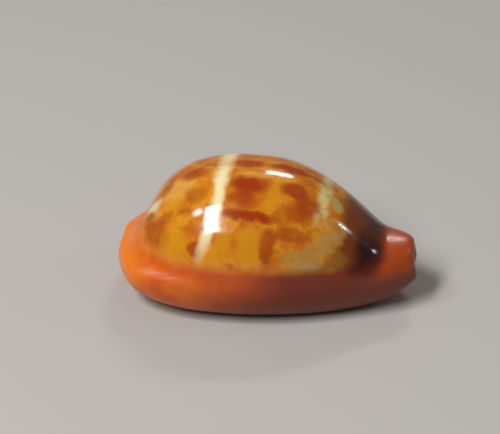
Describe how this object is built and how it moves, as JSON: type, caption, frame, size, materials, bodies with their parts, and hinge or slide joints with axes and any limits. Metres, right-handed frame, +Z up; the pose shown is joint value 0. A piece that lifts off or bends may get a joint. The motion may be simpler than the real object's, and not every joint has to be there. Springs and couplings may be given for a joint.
{
  "type": "cowrie shell",
  "caption": "Glossy pear-shaped cowrie shell, domed above and flat below, with a long toothed slit and a short canal at each end.",
  "frame": {"origin": "centre of the bounding box, on the surface the shell rests on", "axes": "+X along the shell towards its narrow front end, +Z up through the crest of its back, -Y towards the side of the outer lip"},
  "size_m": [0.036, 0.0215, 0.0161],
  "materials": {
    "enamelled_shell": "gloss"
  },
  "bodies": {
    "root": {"cowrie_shell": "enamelled_shell"}
  },
  "joints": []
}
